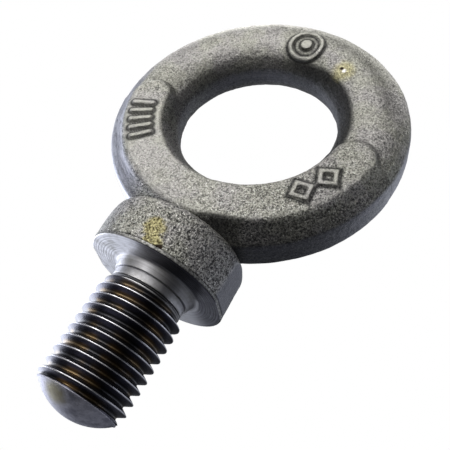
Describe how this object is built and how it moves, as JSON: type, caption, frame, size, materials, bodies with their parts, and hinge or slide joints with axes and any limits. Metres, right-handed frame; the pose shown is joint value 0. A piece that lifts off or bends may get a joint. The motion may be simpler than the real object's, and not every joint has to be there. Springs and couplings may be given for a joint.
{
  "type": "collar eye bolt",
  "caption": "Forged steel collar eye bolt with a round lifting eye, a collar with a machined seat, and a metric threaded shank with a domed end.",
  "frame": {"origin": "centre of the machined seat face, on the thread's axis", "axes": "+Z from the seat up to the eye, the thread runs down -Z, the hole of the eye runs along Y, and -Y is the front"},
  "size_m": [0.073, 0.0324, 0.1166],
  "materials": {
    "forged_steel": "as-forged, shot-blasted scale, fine grain",
    "turned_steel": "turned, concentric tool marks",
    "thread_steel": "rolled thread, dark oily flanks, bright crests",
    "point_steel": "smooth turned dome, slightly stained"
  },
  "bodies": {
    "root": {"eye_ring": "forged_steel", "front_marking_land": "forged_steel", "back_marking_land": "forged_steel", "crown_button": "forged_steel", "left_land_bars": "forged_steel", "right_land_diamonds": "forged_steel", "ring_root_flare": "forged_steel", "collar": "forged_steel", "seat_ring": "turned_steel", "shank_root_cone": "turned_steel", "plain_neck": "turned_steel", "threaded_shank": "thread_steel", "domed_point": "point_steel"}
  },
  "joints": []
}
